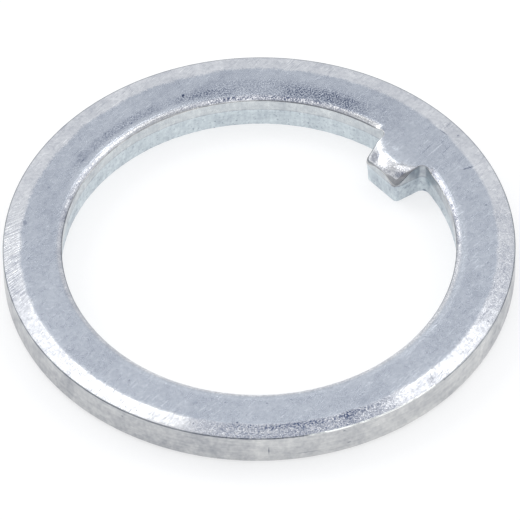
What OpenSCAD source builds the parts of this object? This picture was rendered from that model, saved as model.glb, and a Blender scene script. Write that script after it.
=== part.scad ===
// Retaining ring: a flat steel ring, blanked and pierced from plate, with one locating lug
// standing into the bore. The lug lies along +X. The origin is the middle of the underside.

/* [Ring] */
// Outside diameter
od = 65; // [60:0.5:90]
// Bore diameter, across the smooth upper band of the wall
bore_d = 50; // [40:0.5:52]
// Thickness of the plate
thickness = 5; // [4:0.25:8]

/* [Rim] */
// Width of the shallow bevel around the top, seen from above
bevel_w = 2.15; // [1:0.05:3]
// How far the bevel falls from the top face to the rim
bevel_drop = 0.22; // [0.1:0.02:0.8]
// Radius drawn around the lower edge of the rim
rim_r = 1; // [0.3:0.1:2]

/* [Pierced edge] */
// Width of the rolled top edge around the bore
roll_w = 0.95; // [0.4:0.05:1.5]
// How far the rolled edge falls
roll_drop = 0.4; // [0.1:0.05:0.8]
// Angle at which the flat's edge swings in to each root of the lug, seen from above
runout_angle = 45; // [40:1:60]
// Height of the torn zone, up from the underside
tear_h = 3; // [1:0.1:3]
// How far the torn zone opens out by the underside
tear_flare = 0.22; // [0.1:0.02:0.4]

/* [Lug] */
// How far the lug stands into the bore
lug_reach = 4.6; // [3.5:0.1:8]
// Width of the lug where it leaves the bore
lug_root_w = 7.2; // [6.5:0.1:12]
// Width of the lug at its end face, before the corners are rounded
lug_tip_w = 6; // [4:0.1:6.4]
// Radius of the two upright corners at the tip
lug_corner_r = 0.9; // [0.5:0.1:1.8]
// Radius in the two corners at the root
lug_fillet_r = 1.1; // [0.5:0.1:2.5]

/* [Lug top] */
// Length over which the top rolls down to the end face
tip_roll_w = 2.3; // [1.5:0.1:3]
// How far it falls at the middle of the end face
tip_roll_drop = 0.9; // [0.3:0.1:1.4]
// Slope of the top beside each flank
flank_slope = 35; // [10:1:45]
// Radius between the flat top and that slope
flank_roll_r = 0.8; // [0.4:0.1:3]
// Angle from each flank to the edge of the flat top, seen from above
flank_spread = 48; // [38:1:60]

/* [Hidden] */
$fa = 3;
$fs = 0.2;

// The lug and its root corners are buried this deep in the ring.
root_lap = 0.6;
// Rounds are sunk this far into the faces that they run into, to meet them at an edge.
sink = 0.01;
// Rolled edges leave the flat at this angle, not quite tangentially.
lead = 3;
// Where the bore's roll runs out, its radius grows by this, and its edge is this much less smooth.
runout_ease = 1.25;
runout_lead = 3 * lead;
// Each root corner keeps a sharp top edge for this angle of its round, on both sides of the middle.
corner_sharp = 20;
// Cutting solids stand this far clear of what they cut.
clear = 1;

rim_radius = od / 2;
bore_r = bore_d / 2;
roll_top_r = bore_r + roll_w;
bore_roll_r = roll_radius(roll_w, roll_drop);
runout_r = bore_roll_r * runout_ease;

// Plan of the lug's upper flank: it runs from the end face out to its root on the bore circle.
tip_x = bore_r - lug_reach;
root = [sqrt(bore_r ^ 2 - (lug_root_w / 2) ^ 2), lug_root_w / 2];
splay = atan((lug_root_w - lug_tip_w) / 2 / (root.x - tip_x));
outward = [cos(splay), sin(splay)];
flank_normal = [-sin(splay), cos(splay)];
flank_end = root + outward * run_to_circle(root, outward, roll_top_r + root_lap);

// Centre of the upright round at the tip corner.
corner_x = tip_x + lug_corner_r;
corner = [corner_x, flank_y(corner_x) - lug_corner_r / cos(splay)];

// Centre of the upright round in the root corner, and the direction from it to the round's middle.
fillet_gap = lug_fillet_r - sink;
beside_root = root + flank_normal * fillet_gap;
fillet = beside_root + outward * run_to_circle(beside_root, outward, bore_r - fillet_gap);
fillet_mid = (splay - 90 + atan2(fillet.y, fillet.x)) / 2;

// The flat on the lug ends in an arc broader than the lug, and rolls down beyond it.
tongue_breadth = 1.5;
tongue_r = lug_root_w / 2 * tongue_breadth;
tongue_x = tip_x + tip_roll_w + tongue_r;

// Half the lug's width at a distance x from the ring's axis.
function flank_y(x) = lug_tip_w / 2 + (x - tip_x) * tan(splay);

// Signed distance from a point, along a unit direction, out to a circle about the ring's axis.
function run_to_circle(p, way, r) = -p * way + sqrt((p * way) ^ 2 - p * p + r ^ 2);

// A point on the round in the root corner, turned from its middle.
function on_fillet(turn) = fillet + lug_fillet_r * [cos(fillet_mid + turn), sin(fillet_mid + turn)];

// Direction of a point, seen from the ring's axis.
function polar(p) = atan2(p.y, p.x);

// Radius of an arc that leaves a flat at the lead angle and falls by drop over a width w.
function roll_radius(w, drop) = (w ^ 2 + drop ^ 2) / (2 * (drop * cos(lead) - w * sin(lead)));

// Section of the plain ring, as radius and height, with a sharp top edge at the bore.
module ring_section() {
    difference() {
        polygon([
            [bore_r + tear_flare, 0],
            [rim_radius, 0],
            [rim_radius, thickness - bevel_drop],
            [rim_radius - bevel_w, thickness],
            [bore_r, thickness],
            [bore_r, tear_h]
        ]);
        // drawn lower edge of the rim
        difference() {
            translate([rim_radius - rim_r, -clear])
                square([rim_r + clear, rim_r + clear]);
            translate([rim_radius - rim_r, rim_r])
                circle(rim_r);
        }
    }
}

// What a rolled edge takes off, as distance beyond the edge of the flat and height above it.
module roll_section(r, reach) {
    translate([-r * sin(lead), -r * cos(lead)])
        difference() {
            square([reach + r, r + clear]);
            circle(r);
        }
}

// The same for an edge that rolls into a steady slope.
module slope_section(r, slope, depth) {
    run = depth / tan(slope);
    bend = (r - sink) * [sin(slope), cos(slope)];
    translate([-r * sin(lead), -r * cos(lead)])
        difference() {
            translate([0, bend.y - depth])
                square([bend.x + run, depth + r]);
            circle(r);
            polygon([
                [-clear, 0],
                bend,
                bend + [run + clear, -depth - clear * tan(slope)],
                [-clear, bend.y - depth - clear]
            ]);
        }
}

// A straight cut along the plate's top, with its section to the right of its heading.
module top_cut(start, heading, behind, ahead) {
    translate([start.x, start.y, thickness])
        rotate([0, 0, heading - 90])
            rotate([90, 0, 0])
                translate([0, 0, -ahead])
                    linear_extrude(ahead + behind)
                        children();
}

// A round upright post whose torn zone is wider or narrower at the underside by flare.
module torn_post(r, flare) {
    cylinder(h = tear_h, r1 = r + flare, r2 = r);
    translate([0, 0, tear_h])
        cylinder(h = thickness + clear, r = r);
}

// What tearing takes off a flat wall that faces a heading and passes through a point.
module tear_wedge(point, heading) {
    reach = 4 * lug_root_w;
    translate([point.x, point.y, tear_h])
        rotate([0, 0, heading])
            rotate([0, atan(tear_flare / tear_h), 0])
                translate([0, -reach, -2 * tear_h])
                    cube([clear, 2 * reach, 2 * tear_h]);
}

// The two-dimensional outline of the lug, with square corners, run into the ring.
module lug_outline() {
    intersection() {
        polygon([
            [tip_x, -lug_tip_w / 2],
            [flank_end.x, -flank_end.y],
            [roll_top_r + root_lap + clear, 0],
            flank_end,
            [tip_x, lug_tip_w / 2]
        ]);
        circle(roll_top_r + root_lap);
    }
}

// What rounds the upright corner at the tip.
module corner_cut() {
    side = flank_normal * 2 * lug_corner_r;
    front = [-2 * lug_corner_r, 0];
    difference() {
        translate([0, 0, -clear])
            linear_extrude(thickness + 2 * clear)
                polygon([corner, corner + front, corner + front + side, corner + side]);
        translate([corner.x, corner.y, 0])
            torn_post(lug_corner_r + sink, -tear_flare);
    }
}

// What fills the upright corner at the root.
module root_fill() {
    buried = bore_r + root_lap;
    difference() {
        linear_extrude(thickness)
            polygon([
                fillet,
                fillet - flank_normal * (lug_fillet_r + root_lap),
                root * buried / bore_r - flank_normal * root_lap,
                fillet * buried / (bore_r - fillet_gap)
            ]);
        translate([fillet.x, fillet.y, 0])
            torn_post(lug_fillet_r, tear_flare);
    }
}

// What holds the rolled edge off the lug's root: a flat whose edge swings in to the root corner.
module root_guard() {
    start = on_fillet(corner_sharp);
    top_cut(start, polar(start) - 90 - runout_angle, lug_root_w, lug_fillet_r)
        translate([-runout_r * sin(runout_lead), -runout_r * cos(runout_lead)]) {
            circle(runout_r);
            translate([-lug_root_w, -runout_r - clear])
                square([lug_root_w, 2 * runout_r + 3 * clear]);
        }
}

// What the rolled edge takes off around the bore: nothing at the lug, then its full width.
module bore_roll_cut() {
    first = polar(on_fillet(0));
    difference() {
        rotate([0, 0, first])
            rotate_extrude(angle = 360 - 2 * first)
                translate([roll_top_r, thickness])
                    mirror([1, 0])
                        roll_section(bore_roll_r, roll_w);
        for (side = [0, 1])
            mirror([0, side, 0])
                root_guard();
    }
}

// What slopes the lug's top down to the flank: nothing at the root, and more towards the tip.
module flank_cut() {
    top_cut(on_fillet(-corner_sharp), 180 + splay + flank_spread,
            lug_fillet_r * sin(corner_sharp), lug_reach + lug_root_w)
        slope_section(flank_roll_r, flank_slope, thickness + clear);
}

// What rolls the lug's top down to its end face.
module tip_cut() {
    translate([tongue_x, 0, thickness])
        rotate_extrude()
            translate([tongue_r, 0])
                roll_section(roll_radius(tip_roll_w, tip_roll_drop), lug_reach);
}

module lug() {
    difference() {
        union() {
            difference() {
                linear_extrude(thickness)
                    lug_outline();
                tip_cut();
                tear_wedge([tip_x, 0], 180);
                for (side = [0, 1])
                    mirror([0, side, 0]) {
                        tear_wedge(root, 90 + splay);
                        corner_cut();
                    }
            }
            for (side = [0, 1])
                mirror([0, side, 0])
                    root_fill();
        }
        for (side = [0, 1])
            mirror([0, side, 0])
                flank_cut();
    }
}

module ring() {
    color("#b9c0c8")
        difference() {
            union() {
                rotate_extrude()
                    ring_section();
                lug();
            }
            bore_roll_cut();
        }
}

ring();
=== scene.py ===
import bpy
import bmesh
import math
from mathutils import Matrix, Vector, noise


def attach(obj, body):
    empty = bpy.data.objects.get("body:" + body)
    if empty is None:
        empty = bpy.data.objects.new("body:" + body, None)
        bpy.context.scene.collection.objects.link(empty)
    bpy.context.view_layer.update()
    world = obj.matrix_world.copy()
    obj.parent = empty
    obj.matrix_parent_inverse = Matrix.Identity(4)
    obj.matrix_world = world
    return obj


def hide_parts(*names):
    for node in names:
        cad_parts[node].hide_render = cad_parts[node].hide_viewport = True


mm = 0.001

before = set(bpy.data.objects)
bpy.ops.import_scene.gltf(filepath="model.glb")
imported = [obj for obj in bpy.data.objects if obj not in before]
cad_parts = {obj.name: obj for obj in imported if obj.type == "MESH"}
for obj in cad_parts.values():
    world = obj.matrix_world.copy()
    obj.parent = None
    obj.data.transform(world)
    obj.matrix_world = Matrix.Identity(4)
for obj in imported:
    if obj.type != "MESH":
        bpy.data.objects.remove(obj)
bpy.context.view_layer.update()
bpy.ops.object.select_all(action="DESELECT")
print("frame loaded")

# sizes in millimetres, turns in degrees; the lug points along +X
ringSizes = {
    "rimR": 32.5, "boreR": 25.0, "thick": 5.0,
    "bevelInR": 30.35, "bevelFall": 0.22, "underRound": 1.0,
    "rollW": 0.95, "rollFall": 0.4,      # rolled edge around the bore
    "rollFinish": 0.08,                  # its finish is full where the top has fallen this far
    "tornTop": 3.0, "tornOut": 0.22,     # torn zone under the smooth band of the bore wall
    "tornSwell": 0.05,                   # how much further it opens half way down
    "tornRough": 0.03, "tornFade": 0.5,  # its unevenness, and how far under the smooth band that fades
    "tornWaves": (1.3, 3.1), "tornFine": 0.6,      # waves per mm, coarse and fine, and the share of the fine ones
    "tornUpright": 0.6,                            # how much they are drawn out upwards
    "footW": 0.12, "footStep": (0.02, 0.03),       # flat of the underside beside it, and the step out and up to it
    "tipX": 20.4, "tipHalf": 3.0, "rootHalf": 3.6,           # lug: end face, and half width there and at the root
    "cornerR": 0.9, "rootR": 0.8,                            # its upright rounds
    "tipRollW": 2.3, "tipRollFall": 0.9, "tipArc": 5.4,      # its flat ends in an arc and rolls down beyond it
    "tipRollEnd": 1.5,                                       # over this turn the roll ends before the roots
    "flankSlope": 41.0, "flankRound": 2.2, "flankTurn": 48.0,    # the slope beside each flank
    "flankLead": 0.35, "lugBeyond": 1.0,           # length over which it starts, and turn that it has past a root
    "sharpTurn": 14.0,                             # a root's edge stays sharp this far from its middle
    "runoutTurn": 55.0, "runoutRound": 1.5, "runoutW": 1.6,      # where the bore's roll runs out at a root
    "edgeSoft": 0.06,                    # what tumbling took off the sharp edges
    "cornerSoft": (0.25, 0.5),           # and at the lug's two tip corners
    # columns of points around the bore and the lug: their spacing, and how much closer they start beside the lug
    "boreStep": 0.3, "lugStep": 0.176, "roundStep": 0.11, "boreCrowd": 1.04,
    "rimTurns": (2.6, 3.6, 6.2),         # where the columns of the tip, its corner and the flank end at the rim
    "rimAhead": 2.4, "rimAheadEnd": 25,  # at the rim they are ahead of the bore by this, over this turn
    # rows of points, from the underside's foot around to the underside: shares of each face, turns of the lip's round
    "tornRows": 10, "tornRowEnds": (0.1, 0.06),
    "smoothRows": (0.15, 0.4, 0.7, 0.9, 1.0),
    "lipTurns": (20, 40, 60),
    "besideRows": (0.12, 0.26, 0.41, 0.57, 0.78, 1.0), "besideW": 0.84,      # these follow the bore's outline
    "acrossRows": (0.03, 0.06, 0.1, 0.15, 0.21, 0.28, 0.37, 0.5, 0.65, 0.82, 1.0), "bevelGap": 0.05,
    "bevelRows": (0.02, 0.25, 0.5, 0.75, 0.92),
    "rimRows": (0.2, 0.45, 0.7, 0.9), "underRoundRows": 10,
    "underRows": (0.8, 2.5),
    "smoothUnder": 40,                   # faces that meet at less than this are shaded as one
}


def unit(turn):
    return Vector((math.cos(math.radians(turn)), math.sin(math.radians(turn))))


def turnOf(place):
    return math.degrees(math.atan2(place.y, place.x))


def leftOf(way):
    return Vector((-way.y, way.x))


def ease(t):
    t = min(max(t, 0.0), 1.0)
    return t * t * (3 - 2 * t)


def deeper(a, b):
    # the deeper of two falls, eased where they meet, and nothing where both are nothing
    return (a ** 4 + b ** 4) ** 0.25


def shallower(a, b):
    return a * b / deeper(a, b) if a > 0 and b > 0 else 0.0


def arcFall(run, radius):
    # how far a round falls at a distance beyond the edge of the flat; it stops short of upright
    if run <= 0:
        return 0.0
    run = min(run, radius * 0.98)
    return radius - math.sqrt(radius * radius - run * run)


def arcRadius(width, fall):
    return (width * width + fall * fall) / (2 * fall)


def slopeFall(run, radius, slope):
    # the same for a round that runs into a steady slope
    bend = radius * math.sin(math.radians(slope))
    if run <= bend:
        return arcFall(run, radius)
    return arcFall(bend, radius) + (run - bend) * math.tan(math.radians(slope))


def lugPoints(s):
    # the points and directions that the lug's plan is drawn from, on its +Y side
    root = Vector((math.sqrt(s["boreR"] ** 2 - s["rootHalf"] ** 2), s["rootHalf"]))
    splay = math.degrees(math.atan((s["rootHalf"] - s["tipHalf"]) / (root.x - s["tipX"])))
    along = unit(splay)
    side = leftOf(along)
    beside = root + side * s["rootR"]
    inner = s["boreR"] - s["rootR"]
    run = -beside.dot(along) + math.sqrt(beside.dot(along) ** 2 - beside.dot(beside) + inner ** 2)
    rootCentre = beside + along * run
    flankY = s["tipHalf"] + s["cornerR"] * math.tan(math.radians(splay))
    cornerY = flankY - s["cornerR"] / math.cos(math.radians(splay))
    rootTurn = turnOf(rootCentre)
    middle = (splay - 90 + rootTurn) / 2
    return {
        "splay": splay, "side": side, "rootTurn": rootTurn,
        "rootCentre": rootCentre, "cornerCentre": Vector((s["tipX"] + s["cornerR"], cornerY)),
        "flankStart": rootCentre + unit(middle - s["sharpTurn"]) * s["rootR"],
        "rollStart": rootCentre + unit(middle + s["sharpTurn"]) * s["rootR"],
        "cornerTurn": turnOf(rootCentre + unit(middle) * s["rootR"]),
    }


lug = lugPoints(ringSizes)


def lugFall(s, x, y):
    # slope of the lug's top towards the flank on its +Y side
    way = unit(180 + lug["splay"] + s["flankTurn"])
    reach = Vector((x, y)) - lug["flankStart"]
    run = reach.dot(-leftOf(way))
    return slopeFall(run, s["flankRound"], s["flankSlope"]) * ease(reach.dot(way) / s["flankLead"] + 1)


def topHeight(s, x, y):
    # height of the ring's top face, with the rolls around the bore and on the lug
    place = Vector((x, abs(y)))
    turn = math.degrees(math.atan2(abs(y), x))
    fall = 0.0
    if turn > lug["cornerTurn"]:
        way = unit(turnOf(lug["rollStart"]) - 90 - s["runoutTurn"])
        run = (place - lug["rollStart"]).dot(-leftOf(way))
        fall = arcFall(s["boreR"] + s["rollW"] - math.hypot(x, y), arcRadius(s["rollW"], s["rollFall"]))
        if run < s["runoutW"]:
            fall = shallower(fall, arcFall(run, s["runoutRound"]))
    if turn < lug["cornerTurn"] + s["lugBeyond"]:
        fromArc = math.hypot(x - s["tipX"] - s["tipRollW"] - s["tipArc"], y) - s["tipArc"]
        tip = arcFall(fromArc, arcRadius(s["tipRollW"], s["tipRollFall"]))
        tip *= ease((lug["cornerTurn"] - turn) / s["tipRollEnd"])
        fall = max(fall, deeper(deeper(lugFall(s, x, y), lugFall(s, x, -y)), tip))
    return s["thick"] - fall


def ringColumns(s):
    # walks the bore and the lug from the lug's tip to the far side:
    # point, way into the metal, turn at the rim, and share of the tip corners' softness
    half = []

    def walk(length, step, place, rimTurn, softness):
        count = max(round(length / step), 3)
        for i in range(count):
            half.append((*place(i / count), rimTurn(i / count), softness(i / count)))

    def between(start, end):
        return lambda t: start + (end - start) * t

    def onRound(centre, radius, turn):
        return lambda t: (centre + unit(turn(t)) * radius, unit(turn(t)))

    corner, rootCentre, side = lug["cornerCentre"], lug["rootCentre"], lug["side"]
    rootTurn, rootStart = lug["rootTurn"], lug["splay"] - 90
    tipRim, cornerRim, flankRim = s["rimTurns"]

    # half of the tip, sharp in the middle and softer towards its corner
    tipStart, tipEnd = Vector((s["tipX"], 0)), Vector((s["tipX"], corner.y))
    walk(corner.y, s["lugStep"], lambda t: (tipStart.lerp(tipEnd, t), Vector((1, 0))),
         between(0, tipRim), lambda t: ease(t * 1.4 - 0.4))

    # the corner, which is walked around from outside
    sweep = 90 - lug["splay"]
    walk(math.radians(sweep) * s["cornerR"], s["roundStep"],
         lambda t: (corner + unit(180 - sweep * t) * s["cornerR"], -unit(180 - sweep * t)),
         between(tipRim, cornerRim), lambda t: 1.0)

    # the flank, which sharpens towards the root
    flankA = corner + side * s["cornerR"]
    flankB = rootCentre - side * s["rootR"]
    walk((flankB - flankA).length, s["lugStep"], lambda t: (flankA.lerp(flankB, t), -side),
         between(cornerRim, flankRim), lambda t: 1 - ease(t))

    # the root's round
    walk(math.radians(rootTurn - rootStart) * s["rootR"], s["roundStep"],
         onRound(rootCentre, s["rootR"], between(rootStart, rootTurn)),
         between(flankRim, rootTurn + s["rimAhead"]), lambda t: 0.0)

    # half of the bore
    def boreTurn(t):
        return rootTurn + (180 - rootTurn) * t ** s["boreCrowd"]

    def boreRim(t):
        return boreTurn(t) + s["rimAhead"] * (1 - ease((boreTurn(t) - rootTurn) / s["rimAheadEnd"]))

    walk(math.radians(180 - rootTurn) * s["boreR"], s["boreStep"],
         onRound(Vector((0, 0)), s["boreR"], boreTurn), boreRim, lambda t: 0.0)
    half.append((Vector((-s["boreR"], 0)), Vector((-1, 0)), 180.0, 0.0))

    nearSoft, farSoft = s["cornerSoft"]
    near = [(p, n, t, s["edgeSoft"] + (nearSoft - s["edgeSoft"]) * w) for p, n, t, w in half]
    far = [(Vector((p.x, -p.y)), Vector((n.x, -n.y)), -t, s["edgeSoft"] + (farSoft - s["edgeSoft"]) * w)
           for p, n, t, w in half[1:-1]]
    return near + far[::-1]


columns = ringColumns(ringSizes)


def rough(s, point, z, amount):
    # uneven face of the torn zone
    at = Vector((point.x, point.y, z * s["tornUpright"]))
    coarse, fine = s["tornWaves"]
    return amount * (noise.noise(at * coarse) + s["tornFine"] * noise.noise(at * fine))


def wallRow(s, out, z, unevenness=0.0):
    row = []
    for point, inward, _, _ in columns:
        place = point + inward * (out + rough(s, point, z, unevenness))
        row.append((place.x, place.y, z))
    return row


def smoothWallRow(s, share, lipTurn=0.0):
    # a row of the smooth band: share 0 is its foot, 1 is where the lip starts to round,
    # and lipTurn is how far the lip has rounded over
    row = []
    for point, inward, _, soft in columns:
        place = point + inward * soft * (1 - math.cos(math.radians(lipTurn)))
        top = topHeight(s, place.x, place.y) - soft * (1 - math.sin(math.radians(lipTurn)))
        row.append((place.x, place.y, s["tornTop"] + (top - s["tornTop"]) * share))
    return row


def topRow(s, beside, across=0.0):
    # beside runs from the rounded lip, 0, to the last row that follows the outline, 1,
    # and across from there to the bevel
    row = []
    for point, inward, turn, soft in columns:
        place = point + inward * (soft + (s["besideW"] - soft) * beside)
        place = place.lerp(unit(turn) * (s["bevelInR"] - s["bevelGap"]), across)
        row.append((place.x, place.y, topHeight(s, place.x, place.y)))
    return row


def roundRow(radius, z):
    return [(*(unit(turn) * radius), z) for _, _, turn, _ in columns]


def ringRows(s):
    # each row is its zone and its points; the rows run up the bore wall, over the top and down the rim
    stepOut, stepUp = s["footStep"]
    rows = [("under", wallRow(s, s["tornOut"] + s["footW"], 0.0)),
            ("torn", wallRow(s, s["tornOut"] + stepOut, stepUp, s["tornRough"]))]
    low, high = s["tornRowEnds"]
    for i in range(s["tornRows"]):
        z = low + (s["tornTop"] - low - high) * i / (s["tornRows"] - 1)
        share = z / s["tornTop"]
        out = s["tornOut"] * (1 - share) + s["tornSwell"] * math.sin(math.pi * share)
        unevenness = s["tornRough"] * ease((s["tornTop"] - z) / s["tornFade"])
        rows.append(("torn", wallRow(s, out, z, unevenness)))
    rows.append(("smooth", wallRow(s, 0.0, s["tornTop"])))
    for share in s["smoothRows"]:
        rows.append(("smooth", smoothWallRow(s, share)))
    for lipTurn in s["lipTurns"]:
        rows.append(("lip", smoothWallRow(s, 1, lipTurn)))
    rows.append(("lip", topRow(s, 0.0)))
    for share in s["besideRows"]:
        rows.append(("top", topRow(s, share)))
    for share in s["acrossRows"]:
        rows.append(("top", topRow(s, 1.0, share)))
    for share in s["bevelRows"]:
        radius = s["bevelInR"] + (s["rimR"] - s["bevelInR"]) * share
        rows.append(("bevel", roundRow(radius, s["thick"] - s["bevelFall"] * share)))
    # the rim's softened edge, then the rim down to its lower round
    soft, rimTop = s["edgeSoft"], s["thick"] - s["bevelFall"]
    for zone, inside, down in (("edge", 1, 0), ("edge", 0.3, 0.3), ("edge", 0, 1), ("rim", 0, 3)):
        rows.append((zone, roundRow(s["rimR"] - soft * inside, rimTop - soft * down)))
    for share in s["rimRows"]:
        rows.append(("rim", roundRow(s["rimR"], rimTop + (s["underRound"] - rimTop) * share)))
    for i in range(s["underRoundRows"]):
        turn = math.radians(90 * i / (s["underRoundRows"] - 1))
        rows.append(("rim", roundRow(s["rimR"] - s["underRound"] * (1 - math.cos(turn)),
                                     s["underRound"] * (1 - math.sin(turn)))))
    outer, inner = s["underRows"]
    rows.append(("under", roundRow(s["rimR"] - s["underRound"] - outer, 0.0)))
    rows.append(("under", roundRow(s["bevelInR"] - inner, 0.0)))
    return rows


zones = ("torn", "smooth", "lip", "roll", "edge", "rim")


def sortFaces(mesh):
    # extruding leaves the faces in a new order each time, so they are put in the order of their points
    bm = bmesh.from_edit_mesh(mesh)
    bm.verts.index_update()
    count = len(bm.verts)

    def rank(face):
        first, second, third = sorted(vert.index for vert in face.verts)[:3]
        return (first * count + second) * count + third

    bm.faces.sort(key=rank)
    bmesh.update_edit_mesh(mesh)


def buildRing(s):
    rows = ringRows(s)
    bpy.ops.mesh.primitive_circle_add(vertices=len(columns), radius=s["boreR"] * mm, location=(0, 0, 0))
    ring = bpy.context.object
    ring.name = "platedRing"
    bpy.ops.object.mode_set(mode="EDIT")
    bm = bmesh.from_edit_mesh(ring.data)
    bm.verts.layers.int.new("column")
    for name in zones:
        bm.verts.layers.float.new(name)
    columnOf = bm.verts.layers.int["column"]
    bm.verts.ensure_lookup_table()
    for i, vert in enumerate(bm.verts):
        vert[columnOf] = i

    def placeLoop(zone, points):
        # puts the selected loop on a row's points and gives it the row's zone
        bm = bmesh.from_edit_mesh(ring.data)
        columnOf = bm.verts.layers.int["column"]
        for vert in bm.verts:
            if vert.select:
                point = points[vert[columnOf]]
                vert.co = Vector(point) * mm
                for name in zones:
                    vert[bm.verts.layers.float[name]] = 1.0 if name == zone else 0.0
                if zone == "top":
                    # the roll is where the top has fallen from the flat
                    vert[bm.verts.layers.float["roll"]] = ease((s["thick"] - point[2]) / s["rollFinish"])
        bmesh.update_edit_mesh(ring.data)

    placeLoop(*rows[0])
    for row in rows[1:]:
        bpy.ops.mesh.extrude_region()
        placeLoop(*row)
    # the last loop comes back to the first, and the two become one
    bpy.ops.mesh.extrude_region()
    placeLoop(*rows[0])
    bpy.ops.mesh.select_all(action="SELECT")
    bpy.ops.mesh.remove_doubles(threshold=0.001 * mm)
    bpy.ops.mesh.normals_make_consistent(inside=False)
    bpy.ops.mesh.select_all(action="DESELECT")
    sortFaces(ring.data)
    bpy.ops.object.mode_set(mode="OBJECT")
    bpy.ops.object.shade_smooth_by_angle(angle=math.radians(s["smoothUnder"]))
    return ring


ring = buildRing(ringSizes)
print("ring modelled:", len(ring.data.vertices), "points")


def linear(hexColour):
    # sRGB hex to the linear colour that a shader takes
    parts = [int(hexColour[i:i + 2], 16) / 255 for i in (1, 3, 5)]
    return tuple(p / 12.92 if p <= 0.04045 else ((p + 0.055) / 1.055) ** 2.4 for p in parts) + (1.0,)


def addNode(tree, kind, settings=None, inputs=None):
    # adds a node and sets it; an input takes a value, another node's output, or a node for its first output
    node = tree.nodes.new("ShaderNode" + kind)
    for name, value in (settings or {}).items():
        setattr(node, name, value)
    for name, value in (inputs or {}).items():
        if isinstance(value, bpy.types.Node):
            value = value.outputs[0]
        if isinstance(value, bpy.types.NodeSocket):
            tree.links.new(value, node.inputs[name])
        else:
            node.inputs[name].default_value = value
    return node


def newMaterial(name):
    material = bpy.data.materials.new(name)
    material.use_nodes = True
    material.node_tree.nodes.clear()
    return material, material.node_tree


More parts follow.
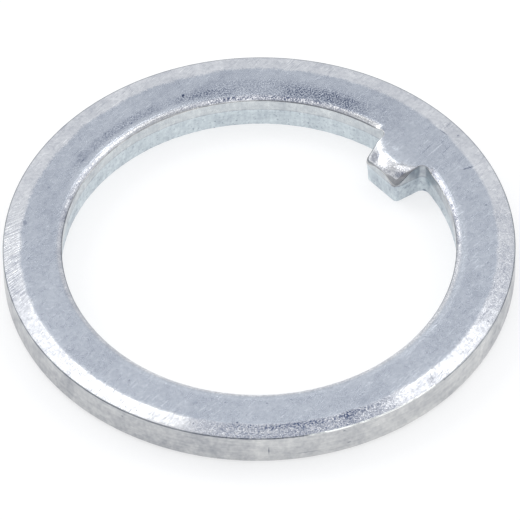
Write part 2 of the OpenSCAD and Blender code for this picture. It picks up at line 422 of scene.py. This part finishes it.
# zinc plate on mild steel, bright but not polished: a bluish grey sheen, mottled by tumbling with other parts,
# with fine scratches and pits; the walls are greener and duller than the top, with painted shade in places, and the
# sharp edges carry painted dark lines of shade, broken by painted highlights.
# the real scratches and grain are finer, and are drawn as coarse as they need to show.
# sizes are in mm and turns are counted from the lug; tone is how much paler or darker, as a share
platedSteel = {
    # colour and roughness of the top, and of the zones that are laid over it
    "top": ("#b7bcc5", 0.25),
    # the dark colours of the lip and the edge are painted dark lines of shade along those edges
    "zones": {
        "bevel": ("#dcdde0", 0.19), "roll": ("#cecfd3", 0.25), "lip": ("#8f9094", 0.28), "torn": ("#d1dadf", 0.38),
        "smooth": ("#cdd2d5", 0.28), "edge": ("#85898d", 0.3), "rim": ("#c9cacb", 0.33),
    },
    "wander": (2.2, 0.4, 0.6, 0.4),             # slow noise: size, from, to; least share of wear and of the painted shade and highlights where it is low
    "bevelFrom": 30.28, "bevelWander": 0.7,     # where the bevel's polish starts, and how unevenly
    "bevelBlend": 0.2,                          # and over how much it comes in, to each side
    "bevelRagged": (72, 95, 0.22, 0.5),         # and where it frays: turn and spread, grain and width
    "patterns": (
        # size along x, y, z; turn; detail; noise from, to; tone from, to; where
        ((0.5, 0.5, 0.5), 0, 3.0, (0.3, 0.7), (-0.1, 0.1), "all"),               # grain of the plate
        ((1.6, 1.6, 1.6), 0, 2.0, (0.3, 0.7), (-0.09, 0.09), "all"),             # mottling
        ((6.0, 6.0, 6.0), 0, 1.0, (0.3, 0.7), (-0.07, 0.07), "all"),             # clouds
        ((1.5, 0.13, 2.0), 8, 1.0, (0.62, 0.72), (0.0, 0.24), "flat"),           # pale scratches
        ((2.0, 0.14, 2.0), 14, 1.0, (0.64, 0.74), (0.0, -0.28), "flat"),         # dark scratches beside them
        ((2.2, 0.13, 2.0), -38, 1.0, (0.66, 0.74), (0.0, 0.2), "flat"),          # pale ones across them
        ((3.0, 0.15, 2.0), 74, 1.0, (0.67, 0.75), (0.0, -0.2), "flat"),          # and dark ones
        ((0.2, 0.2, 0.2), 0, 2.0, (0.42, 0.62), (-0.36, 0.32), "speckled"),      # speckles
        ((0.2, 0.2, 0.2), 0, 2.0, (0.45, 0.62), (-0.18, 0.16), "roll"),          # and finer ones on the roll
        ((0.3, 0.3, 4.0), 0, 1.5, (0.3, 0.7), (-0.05, 0.05), "bore"),            # draw marks up the bore
        ((5.0, 5.0, 0.16), 0, 1.5, (0.3, 0.7), (-0.07, 0.07), "rim"),            # and around the rim
        ((0.3, 0.3, 0.3), 0, 2.0, (0.6, 0.7), (0.0, -0.3), "torn"),              # small tears
    ),
    # chatter marks across the bevel: turn and spread; pitch and length; slant; noise from, to; tone
    "hatch": {"turn": 143, "spread": 17, "pitch": 0.17, "length": 2.5, "slant": -0.6,
              "noise": (0.4, 0.6), "tone": 0.24, "middleR": 31.4},
    "patches": (
        # where; turn and spread; middle radius and half width; how speckled; tone
        ("flat", 40, 36, 26.8, 2.4, 0.75, -0.12),        # speckled stretch of the top, past the lug
        ("flat", 31, 13, 26.7, 1.4, 0.6, -0.24),         # and its darkest part
        ("bevel", -122, 30, 31.3, 2.6, 0.75, -0.38),     # speckled stretch of the bevel, with painted shade
        ("bevel", -118, 26, 30.4, 0.9, 0.3, -0.1),       # and painted shade along its inner side
        ("bevel", -44, 24, 31.3, 2.6, 0.4, -0.13),       # painted shade on stretches of the bevel
        ("bevel", -75, 30, 31.3, 2.6, 0.12, -0.06),
        ("bevel", 170, 30, 31.3, 2.6, 0.1, -0.05),
        ("flat", 0, 15, 22.4, 2.4, 0.25, 0.3),           # painted highlight on the top of the lug
        ("flat", -130, 70, 25.5, 1.0, 0.15, 0.25),       # painted highlights beside the bore
        ("flat", -55, 50, 25.7, 1.0, 0.3, 0.24),
        ("flat", 88, 36, 25.75, 0.8, 0.25, 0.2),
        ("flat", 92, 34, 27.1, 0.9, 0.4, -0.1),          # dark smudges outside them
        ("flat", 65, 12, 26.7, 1.0, 0.5, -0.14),
        ("flat", 90, 14, 26.9, 0.9, 0.4, -0.08),
    ),
    "core": {"turn": 0.3, "width": 0.4},                 # share of a spread and of a half width that is full
    "paintedLight": (
        # painted shade and highlights: zone; turn and spread; tone
        ("lip", 85, 45, 1.7), ("lip", 3.5, 12, 1.4),     # painted highlights, where the lip's painted dark line breaks off
        ("lip", -22, 14, 1.4), ("lip", 142, 30, -0.3),   # and painted shade, where it is darkest
        ("edge", -104, 20, 3.6), ("edge", 175, 60, -0.3),        # painted highlight and shade on the rim's edge, the same way
        ("roll", 12, 14, 0.8), ("roll", 84, 20, 0.12),           # painted highlights on the roll
        ("roll", 56, 28, -0.4), ("roll", 122, 22, -0.25), ("roll", -28, 24, -0.42),      # painted shade on the roll
        ("smooth", -16, 24, -0.26), ("smooth", 4, 8, -0.08), ("smooth", 124, 22, -0.16),     # painted shade on the walls
        ("torn", -14, 24, -0.18), ("torn", 4, 8, -0.06), ("torn", 124, 22, -0.1),
        ("rim", -172, 48, -0.2), ("rim", -52, 24, -0.16),
    ),
    "tearLine": (3.02, 0.06, -0.3),                      # line where the smooth band ends: height, half width, tone
    "pits": {"size": 1.3, "share": 0.16, "edge": (0.06, 0.14), "tone": -0.35},       # in some cells of this size
    "marks": (
        # x, y, z; turn; size along, across, up; tone
        ((27.4, -2.7, 5.0), 8, (2.3, 0.09, 0.3), 0.3),           # scratches where the lug meets the ring
        ((26.6, -1.9, 5.0), 12, (1.6, 0.08, 0.3), -0.35),
        ((28.6, -3.6, 5.0), 10, (1.2, 0.08, 0.3), -0.4),
        ((30.25, -1.1, 4.98), -86, (0.85, 0.1, 0.3), -0.55),
        ((28.5, -7.85, 5.0), -20, (1.0, 0.17, 0.3), -0.5),
        ((9.5, 25.8, 5.0), 0, (0.28, 0.24, 0.3), -0.75),         # dents and scratches around the top
        ((-19.9, 22.4, 5.0), 60, (0.6, 0.35, 0.3), -0.35),
        ((-25.8, 14.2, 5.0), -40, (0.55, 0.08, 0.3), -0.5),
        ((-21.7, -20.8, 5.0), 0, (0.2, 0.18, 0.3), -0.6),
        ((-14.1, -22.4, 5.0), -84, (0.45, 0.08, 0.3), -0.45),
        ((-20.4, -25.3, 2.5), -129, (0.4, 0.08, 0.9), -0.6),     # on the rim
        ((-12.1, -30.1, 4.2), -112, (0.4, 0.25, 0.12), -0.5),
        ((-11.5, -30.4, 1.8), -111, (0.4, 0.3, 0.1), -0.45),
        ((-16.3, -28.1, 1.6), -120, (0.4, 2.4, 0.07), -0.3),
        ((24.4, -4.1, 0.25), 60, (0.7, 0.45, 0.3), -0.7),        # dark spot under a root
        ((21.2, -2.4, 4.4), -25, (1.6, 0.7, 0.45), -0.62),       # painted dark reflections on the lug's corners
        ((21.6, 1.9, 4.3), -8, (1.6, 1.1, 0.9), -0.8),
    ),
    "markCore": 0.55,                     # share of a mark, from its rim inwards, over which it comes in
    "toneTint": (1.0, 0.96, 0.84),        # what is darker is bluer
    "toneRough": -0.3,                    # and rougher
    "bumpMm": 0.010,
}


def zincPlate(p):
    material, tree = newMaterial("zincPlatedSteel")
    place = addNode(tree, "TexCoord").outputs["Object"]
    zone = {name: addNode(tree, "Attribute", {"attribute_name": name}).outputs["Fac"] for name in zones}
    parts = addNode(tree, "SeparateXYZ", None, {"Vector": place})
    level = addNode(tree, "VectorMath", {"operation": "MULTIPLY"}, {0: place, 1: (1, 1, 0)})
    radius = addNode(tree, "VectorMath", {"operation": "LENGTH"}, {0: level}).outputs["Value"]
    way = addNode(tree, "VectorMath", {"operation": "NORMALIZE"}, {0: level})
    size, low, high, least = p["wander"]
    wander = addNode(tree, "TexNoise", None, {"Vector": place, "Scale": 1 / (size * mm), "Detail": 2.0})

    def towards(turn, spread):
        # 1 at a turn from the lug, easing to 0 at its spread on both sides
        facing = addNode(tree, "VectorMath", {"operation": "DOT_PRODUCT"}, {0: way, 1: (*unit(turn), 0)})
        return addNode(tree, "MapRange", {"interpolation_type": "SMOOTHSTEP"},
                       {"Value": facing.outputs["Value"], "From Min": math.cos(math.radians(spread)),
                        "From Max": math.cos(math.radians(spread * p["core"]["turn"]))})

    # where each pattern lies
    bore = addNode(tree, "Math", {"operation": "ADD"}, {0: zone["smooth"], 1: zone["torn"]})
    walls = addNode(tree, "Math", {"operation": "ADD"}, {0: bore, 1: zone["rim"]})
    flat = addNode(tree, "Math", {"operation": "SUBTRACT", "use_clamp": True}, {0: 1.0, 1: walls})
    wearAndPaintedLightMottle = addNode(tree, "MapRange", None,
                   {"Value": wander, "From Min": low, "From Max": high, "To Min": least, "To Max": 1.0})
    scratched = addNode(tree, "Math", {"operation": "MULTIPLY"}, {0: wearAndPaintedLightMottle, 1: flat})

    # the bevel's polish starts at an uneven radius, and frays on one side
    uneven = addNode(tree, "Math", {"operation": "MULTIPLY_ADD"}, {0: wander, 1: p["bevelWander"] * mm, 2: radius})
    turn, spread, size, width = p["bevelRagged"]
    fray = addNode(tree, "TexNoise", None, {"Vector": place, "Scale": 1 / (size * mm), "Detail": 2.0})
    fray = addNode(tree, "Math", {"operation": "SUBTRACT"}, {0: fray, 1: 0.5})
    fray = addNode(tree, "Math", {"operation": "MULTIPLY"}, {0: fray, 1: towards(turn, spread)})
    uneven = addNode(tree, "Math", {"operation": "MULTIPLY_ADD"}, {0: fray, 1: 2 * width * mm, 2: uneven})
    start = p["bevelFrom"] + 0.5 * p["bevelWander"]
    bevel = addNode(tree, "MapRange", None,
                    {"Value": uneven, "From Min": (start - p["bevelBlend"]) * mm,
                     "From Max": (start + p["bevelBlend"]) * mm})
    zone["bevel"] = addNode(tree, "Math", {"operation": "MULTIPLY"}, {0: bevel, 1: flat})

    # patches, which are speckled and have a tone of their own; some are painted shade and some painted highlights
    where = {**zone, "flat": flat}
    tone, speckled = 0.0, 0.0
    for area, turn, spread, middle, half, share, shade in p["patches"]:
        off = addNode(tree, "Math", {"operation": "SUBTRACT"}, {0: radius, 1: middle * mm})
        off = addNode(tree, "Math", {"operation": "ABSOLUTE"}, {0: off})
        band = addNode(tree, "MapRange", {"interpolation_type": "SMOOTHSTEP"},
                       {"Value": off, "From Min": half * mm, "From Max": half * p["core"]["width"] * mm})
        patch = addNode(tree, "Math", {"operation": "MULTIPLY"}, {0: band, 1: towards(turn, spread)})
        patch = addNode(tree, "Math", {"operation": "MULTIPLY"}, {0: patch, 1: where[area]})
        speckled = addNode(tree, "Math", {"operation": "MULTIPLY_ADD"}, {0: patch, 1: share, 2: speckled})
        tone = addNode(tree, "Math", {"operation": "MULTIPLY_ADD"}, {0: patch, 1: shade, 2: tone})

    # the patterns, one over another
    where = {**zone, "flat": scratched, "speckled": speckled, "bore": bore, "all": 1.0}
    for size, turn, detail, (low, high), (toneLow, toneHigh), area in p["patterns"]:
        run = addNode(tree, "Mapping", {"vector_type": "TEXTURE"},
                      {"Vector": place, "Rotation": (0, 0, math.radians(turn)), "Scale": [side * mm for side in size]})
        grain = addNode(tree, "TexNoise", None, {"Vector": run, "Scale": 1.0, "Detail": detail})
        value = addNode(tree, "MapRange", None, {"Value": grain, "From Min": low, "From Max": high,
                                                 "To Min": toneLow, "To Max": toneHigh})
        tone = addNode(tree, "Math", {"operation": "MULTIPLY_ADD"}, {0: value, 1: where[area], 2: tone})

    # chatter marks across the bevel, counted around the ring
    h = p["hatch"]
    low, high = h["noise"]
    angle = addNode(tree, "Math", {"operation": "ARCTAN2"}, {0: parts.outputs["Y"], 1: parts.outputs["X"]})
    around = addNode(tree, "Math", {"operation": "MULTIPLY"}, {0: angle, 1: h["middleR"] / h["pitch"]})
    slanted = addNode(tree, "Math", {"operation": "MULTIPLY_ADD"},
                      {0: radius, 1: h["slant"] / (h["pitch"] * mm), 2: around})
    across = addNode(tree, "Math", {"operation": "MULTIPLY"}, {0: radius, 1: 1 / (h["length"] * mm)})
    grid = addNode(tree, "CombineXYZ", None, {"X": slanted, "Y": across})
    lines = addNode(tree, "TexNoise", None, {"Vector": grid, "Scale": 1.0, "Detail": 1.0})
    value = addNode(tree, "MapRange", None, {"Value": lines, "From Min": low, "From Max": high,
                                             "To Min": -h["tone"], "To Max": h["tone"]})
    cover = addNode(tree, "Math", {"operation": "MULTIPLY"},
                    {0: towards(h["turn"], h["spread"]), 1: zone["bevel"]})
    tone = addNode(tree, "Math", {"operation": "MULTIPLY_ADD"}, {0: value, 1: cover, 2: tone})

    # painted shade and highlights on the edges, roll and walls, and the dark line between the bore's two bands
    height, width, tearShade = p["tearLine"]
    tear = addNode(tree, "Math", {"operation": "COMPARE"}, {0: parts.outputs["Z"], 1: height * mm, 2: width * mm})
    covers = [(towards(turn, spread), zone[name], shade) for name, turn, spread, shade in p["paintedLight"]]
    for cover, face, shade in [*covers, (tear, bore, tearShade)]:
        line = addNode(tree, "Math", {"operation": "MULTIPLY"}, {0: cover, 1: face})
        line = addNode(tree, "Math", {"operation": "MULTIPLY"}, {0: line, 1: wearAndPaintedLightMottle})
        tone = addNode(tree, "Math", {"operation": "MULTIPLY_ADD"}, {0: line, 1: shade, 2: tone})

    # pits: small dark spots in some of the cells
    pits = p["pits"]
    start, end = pits["edge"]
    cells = addNode(tree, "TexVoronoi", None, {"Vector": place, "Scale": 1 / (pits["size"] * mm)})
    chance = addNode(tree, "SeparateColor", None, {"Color": cells.outputs["Color"]})
    some = addNode(tree, "Math", {"operation": "LESS_THAN"}, {0: chance, 1: pits["share"]})
    spot = addNode(tree, "MapRange", None, {"Value": cells.outputs["Distance"], "From Min": start, "From Max": end,
                                            "To Min": 1.0, "To Max": 0.0})
    pit = addNode(tree, "Math", {"operation": "MULTIPLY"}, {0: some, 1: spot})
    tone = addNode(tree, "Math", {"operation": "MULTIPLY_ADD"}, {0: pit, 1: pits["tone"], 2: tone})

    # single scratches and dents, and painted dark reflections on the lug's corners, each where it is on the ring
    for centre, turn, size, shade in p["marks"]:
        inside = addNode(tree, "Mapping", {"vector_type": "TEXTURE"},
                         {"Vector": place, "Location": [at * mm for at in centre],
                          "Rotation": (0, 0, math.radians(turn)), "Scale": [side * mm for side in size]})
        blot = addNode(tree, "TexGradient", {"gradient_type": "SPHERICAL"}, {"Vector": inside})
        value = addNode(tree, "MapRange", {"interpolation_type": "SMOOTHSTEP"},
                        {"Value": blot.outputs["Fac"], "From Min": 0.0, "From Max": p["markCore"],
                         "To Min": 0.0, "To Max": shade})
        tone = addNode(tree, "Math", {"operation": "ADD"}, {0: value, 1: tone})

    # each zone's own colour and roughness
    topColour, rough = p["top"]
    colour = linear(topColour)
    for name, (zoneColour, zoneRough) in p["zones"].items():
        mixed = addNode(tree, "Mix", {"data_type": "RGBA"}, {0: zone[name], 6: colour, 7: linear(zoneColour)})
        colour = mixed.outputs[2]
        rough = addNode(tree, "Mix", None, {0: zone[name], 2: rough, 3: zoneRough})

    # the tone lightens and darkens the colour, and its relief catches the light
    factor = addNode(tree, "VectorMath", {"operation": "MULTIPLY_ADD"}, {0: tone, 1: p["toneTint"], 2: (1, 1, 1)})
    colour = addNode(tree, "VectorMath", {"operation": "MULTIPLY"}, {0: colour, 1: factor})
    duller = addNode(tree, "Math", {"operation": "MULTIPLY_ADD"}, {0: tone, 1: p["toneRough"], 2: rough})
    relief = addNode(tree, "Bump", None, {"Height": tone, "Strength": 1.0, "Distance": p["bumpMm"] * mm})
    shader = addNode(tree, "BsdfPrincipled", None,
                     {"Metallic": 1.0, "Base Color": colour, "Roughness": duller, "Normal": relief})
    addNode(tree, "OutputMaterial", None, {"Surface": shader})
    return material


ring.data.materials.append(zincPlate(platedSteel))
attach(ring, "root")
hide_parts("ring")
print("plating done")

# studio: white table, a pale dome and soft boxes; turns are seen from above, 90 is straight behind the ring,
# heights are in degrees above the table and lengths in metres
studio = {
    "lugTurn": 40.4,            # where the lug points, as the camera sees it
    "cameraHeight": 48.25, "cameraDistance": 1.3, "cameraRoll": 0.81, "lens": 708.2, "sensor": 36,
    "aimRight": 0.076, "aimUp": 1.283,   # from the ring's origin to the middle of the view, in mm
    "domeColour": "#f2f5fa", "domeStrength": 0.9,
    "ceiling": (0.80, 0.87, 0.6),        # the dome dims from one height to another, of 1, to this share
    "front": (0.2, -0.3, 0.85),          # and towards the camera's side
    "tableSize": 6, "tableColour": "#b4b4b4", "tableGlow": 0.6,
    "boxes": {
        # name: turn, height, distance, width, tall, brightness of its face
        "leftBack": (104, 57, 0.9, 0.12, 0.15, 1.9),
        "rightBack": (76, 57, 0.9, 0.12, 0.15, 1.8),
        "leftSide": (146, 46, 0.9, 0.55, 0.42, 1.6),
        "rightSide": (34, 54, 0.9, 0.4, 0.42, 1.1),
        "overhead": (270, 80, 0.9, 0.5, 0.84, 1.15),
    },
}


def seenFrom(turn, height, distance):
    # a place given as the camera sees it, in the ring's own frame
    flat = unit(turn - studio["lugTurn"]) * math.cos(math.radians(height)) * distance
    return Vector((flat.x, flat.y, math.sin(math.radians(height)) * distance))


def addCamera(p):
    place = seenFrom(-90, p["cameraHeight"], p["cameraDistance"])
    right = Vector((*unit(-p["lugTurn"]), 0))
    up = right.cross(-place.normalized())
    tilt = math.radians(p["cameraRoll"])
    rolledRight = right * math.cos(tilt) - up * math.sin(tilt)
    rolledUp = right * math.sin(tilt) + up * math.cos(tilt)
    aim = rolledRight * p["aimRight"] * mm + rolledUp * p["aimUp"] * mm
    back = (place - aim).normalized()
    rolledRight = (rolledRight - back * rolledRight.dot(back)).normalized()
    data = bpy.data.cameras.new("camera")
    data.lens = p["lens"]
    data.sensor_width = p["sensor"]
    camera = bpy.data.objects.new("camera", data)
    bpy.context.scene.collection.objects.link(camera)
    axes = Matrix((rolledRight, back.cross(rolledRight), back)).transposed()
    camera.matrix_world = Matrix.Translation(place) @ axes.to_4x4()
    bpy.context.scene.camera = camera


def addBox(name, turn, height, distance, width, tall, brightness):
    data = bpy.data.lights.new(name, "AREA")
    data.shape = "RECTANGLE"
    data.size, data.size_y = width, tall
    data.energy = brightness * math.pi * width * tall
    box = bpy.data.objects.new(name, data)
    bpy.context.scene.collection.objects.link(box)
    box.location = seenFrom(turn, height, distance)
    box.rotation_euler = box.location.to_track_quat("Z", "Y").to_euler()


def addDome(p):
    world = bpy.data.worlds.new("studio")
    bpy.context.scene.world = world
    world.use_nodes = True
    tree = world.node_tree
    tree.nodes.clear()
    way = addNode(tree, "TexCoord").outputs["Object"]
    strength = p["domeStrength"]
    for name, axis in (("ceiling", (0, 0, 1)), ("front", (*unit(90 - p["lugTurn"]), 0))):
        start, end, share = p[name]
        along = addNode(tree, "VectorMath", {"operation": "DOT_PRODUCT"}, {0: way, 1: axis}).outputs["Value"]
        dimmed = addNode(tree, "MapRange", {"interpolation_type": "SMOOTHSTEP"},
                         {"Value": along, "From Min": start, "From Max": end, "To Min": 1.0, "To Max": share})
        strength = addNode(tree, "Math", {"operation": "MULTIPLY"}, {0: dimmed, 1: strength})
    glow = addNode(tree, "Background", None, {"Color": linear(p["domeColour"]), "Strength": strength})
    addNode(tree, "OutputWorld", None, {"Surface": glow})


def addTable(p):
    bpy.ops.object.select_all(action="DESELECT")
    bpy.ops.mesh.primitive_plane_add(size=p["tableSize"], location=(0, 0, 0))
    table = bpy.context.object
    table.name = "table"
    # matt white, which also glows as a white ground where the camera or a reflection sees it
    material, tree = newMaterial("whiteTable")
    matt = addNode(tree, "BsdfDiffuse", None, {"Color": linear(p["tableColour"])})
    rays = addNode(tree, "LightPath").outputs
    seen = addNode(tree, "Math", {"operation": "ADD", "use_clamp": True},
                   {0: rays["Is Camera Ray"], 1: rays["Is Glossy Ray"]})
    strength = addNode(tree, "Math", {"operation": "MULTIPLY"}, {0: seen, 1: p["tableGlow"]})
    glow = addNode(tree, "Emission", None, {"Color": (1, 1, 1, 1), "Strength": strength})
    both = addNode(tree, "AddShader", None, {0: matt, 1: glow})
    addNode(tree, "OutputMaterial", None, {"Surface": both})
    table.data.materials.append(material)


addCamera(studio)
for name, box in studio["boxes"].items():
    addBox(name, *box)
addDome(studio)
addTable(studio)
bpy.context.scene.view_settings.view_transform = "Standard"
print("studio set")
